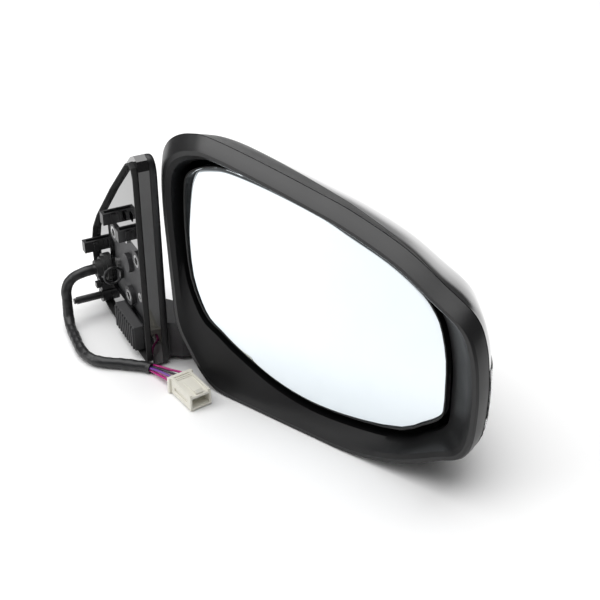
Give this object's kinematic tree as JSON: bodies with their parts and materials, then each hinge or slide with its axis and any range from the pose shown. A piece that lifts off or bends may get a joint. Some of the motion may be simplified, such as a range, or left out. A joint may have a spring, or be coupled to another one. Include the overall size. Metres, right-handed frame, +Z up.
{
  "type": "car side mirror",
  "caption": "Power folding door mirror with heated adjustable glass, sail base, fold pivot, side indicator lens and a wiring harness ending in a plug.",
  "frame": {"origin": "centre of the three-bolt circle on the door mounting face", "axes": "+X away from the door, +Y to the front of the car, +Z up; the head is folded back by 64 degrees"},
  "size_m": [0.197, 0.313, 0.165],
  "materials": {
    "base_black": "fine grained black plastic",
    "gloss_black": "high gloss black",
    "foam_black": "soft foam seal",
    "cast_black": "die cast, painted black",
    "zinc_steel": "zinc plated",
    "clip_black": "satin nylon",
    "grey_rubber": "ribbed rubber",
    "soft_rubber": "moulded rubber",
    "taped_sheath": "wound PVC tape",
    "wire_pink": "wire insulation",
    "plug_white": "natural nylon",
    "tin_brass": "tinned",
    "bright_steel": "turned",
    "sintered_steel": "sintered",
    "spring_steel": "oiled",
    "satin_grey": "satin textured dark grey",
    "matte_black": "matte black",
    "clear_lens": "clear ribbed lens",
    "lamp_chrome": "metallised",
    "board_green": "circuit board",
    "frame_black": "glass filled nylon",
    "motor_steel": "motor can",
    "worm_brass": "machined",
    "box_grey": "moulded grey",
    "white_acetal": "natural acetal",
    "heater_film": "heater film",
    "mirror_silver": "silvered glass"
  },
  "bodies": {
    "base": {"sail_frame": "gloss_black", "sail_cover": "base_black", "door_seal": "foam_black", "foot_bracket": "cast_black", "mounting_inserts": "zinc_steel", "locating_peg": "clip_black", "bracket_screws": "zinc_steel", "trim_clips": "clip_black", "seal_block": "grey_rubber", "pull_loop": "clip_black", "harness_gland": "soft_rubber", "harness_clip": "clip_black", "harness": "taped_sheath", "harness_tape": "taped_sheath", "plug_wires": "wire_pink", "plug_housing": "plug_white", "plug_terminals": "tin_brass", "pivot_post": "bright_steel", "fold_gear": "sintered_steel", "fold_spring": "spring_steel", "spring_washer": "bright_steel", "circlip": "spring_steel"},
    "gimbal": {"gimbal_ring": "white_acetal"},
    "glass": {"glass_carrier": "matte_black", "heater_pad": "heater_film", "heater_tabs": "tin_brass", "mirror_glass": "mirror_silver"},
    "tilt_screw": {"tilt_plunger": "white_acetal"},
    "pan_screw": {"pan_plunger": "white_acetal"},
    "tilt_drive": {"tilt_nut": "white_acetal"},
    "pan_drive": {"pan_nut": "white_acetal"},
    "tilt_motor_worm": {"tilt_worm": "worm_brass"},
    "pan_motor_worm": {"pan_worm": "worm_brass"},
    "fold_motor_worm": {"fold_worm": "worm_brass"},
    "head": {"bezel": "satin_grey", "rear_housing": "satin_grey", "skull_cap": "gloss_black", "pivot_cover": "matte_black", "indicator_lens": "clear_lens", "indicator_housing": "lamp_chrome", "indicator_board": "board_green", "head_frame": "frame_black", "fold_housing": "frame_black", "fold_lid": "frame_black", "motor_lid": "frame_black", "fold_motor": "motor_steel", "adjuster_screws": "zinc_steel", "fold_screws": "zinc_steel", "head_wires": "wire_pink", "adjuster_housing": "box_grey", "adjuster_cover": "box_grey", "tilt_motor": "motor_steel", "pan_motor": "motor_steel"}
  },
  "joints": [
    {"name": "head_fold", "type": "hinge", "parent": "base", "child": "head", "pos_m": [0.083, -0.04, 0], "axis": [0, 0, 1], "range_deg": [0, 104]},
    {"name": "glass_pan", "type": "hinge", "parent": "head", "child": "gimbal", "pos_m": [0.07993, -0.12494, 0.024], "axis": [0.1355, 0.0782, 0.9877], "range_deg": [-7, 7]},
    {"name": "glass_tilt", "type": "hinge", "parent": "gimbal", "child": "glass", "pos_m": [0.07993, -0.12494, 0.024], "axis": [0.5, -0.866, 0], "range_deg": [-7, 7]},
    {"name": "tilt_plunger_slide", "type": "slide", "parent": "head", "child": "tilt_screw", "axis": [0.8554, 0.4938, -0.1564], "range_m": [-0.004, 0.004]},
    {"name": "pan_plunger_slide", "type": "slide", "parent": "head", "child": "pan_screw", "axis": [0.8554, 0.4938, -0.1564], "range_m": [-0.0043, 0.0043]},
    {"name": "tilt_nut_spin", "type": "hinge", "parent": "head", "child": "tilt_drive", "pos_m": [0.08928, -0.11954, -0.01011], "axis": [0.8554, 0.4938, -0.1564], "range_deg": [-178, 178]},
    {"name": "pan_nut_spin", "type": "hinge", "parent": "head", "child": "pan_drive", "pos_m": [0.11061, -0.14649, 0.0215], "axis": [0.8554, 0.4938, -0.1564], "range_deg": [-189, 189]},
    {"name": "tilt_worm_spin", "type": "hinge", "parent": "head", "child": "tilt_motor_worm", "pos_m": [0.09094, -0.11858, 0.00204], "axis": [0.5, -0.866, 0], "range_deg": [-2130, 2130]},
    {"name": "pan_worm_spin", "type": "hinge", "parent": "head", "child": "pan_motor_worm", "pos_m": [0.10446, -0.13584, 0.0215], "axis": [0.1355, 0.0782, 0.9877], "range_deg": [-2262, 2262]},
    {"name": "fold_worm_spin", "type": "hinge", "parent": "head", "child": "fold_motor_worm", "pos_m": [0.06709, -0.04776, -0.0125], "axis": [0.4384, -0.8988, 0], "range_deg": [-90, 3900]}
  ],
  "couplings": [
    {"joint": "tilt_plunger_slide", "follows": "glass_tilt", "m_per_rad": 0.032},
    {"joint": "pan_plunger_slide", "follows": "glass_pan", "m_per_rad": 0.034},
    {"joint": "tilt_nut_spin", "follows": "glass_tilt", "ratio": 25.133},
    {"joint": "pan_nut_spin", "follows": "glass_pan", "ratio": 26.704},
    {"joint": "tilt_worm_spin", "follows": "glass_tilt", "ratio": -301.59},
    {"joint": "pan_worm_spin", "follows": "glass_pan", "ratio": -320.44},
    {"joint": "fold_worm_spin", "follows": "head_fold", "ratio": 36}
  ]
}
